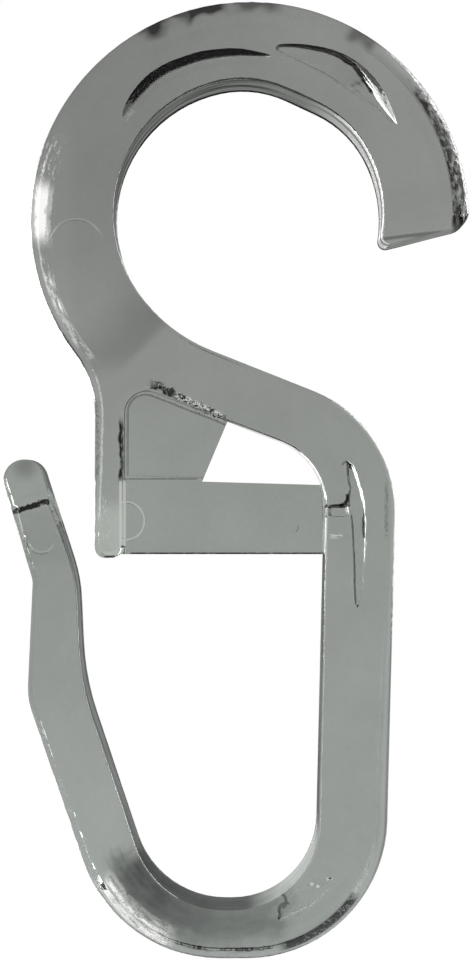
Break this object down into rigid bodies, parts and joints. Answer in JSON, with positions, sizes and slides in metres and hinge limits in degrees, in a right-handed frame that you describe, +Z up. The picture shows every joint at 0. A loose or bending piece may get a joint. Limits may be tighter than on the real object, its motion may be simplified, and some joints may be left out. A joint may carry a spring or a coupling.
{
  "type": "curtain hook",
  "caption": "Clear plastic curtain hook moulded in one piece, with an open eye to hang it by and a loop whose springy arm hooks into curtain tape.",
  "frame": {"origin": "centre of the open eye, in the middle plane of the flat band", "axes": "+Z up as the hook hangs, +Y through the thickness from the front to the back, +X towards the eye's mouth"},
  "size_m": [0.0175, 0.0026, 0.0359],
  "materials": {
    "clear_plastic": "clear glossy, smoke grey"
  },
  "bodies": {
    "root": {"curtain_hook": "clear_plastic"}
  },
  "joints": []
}
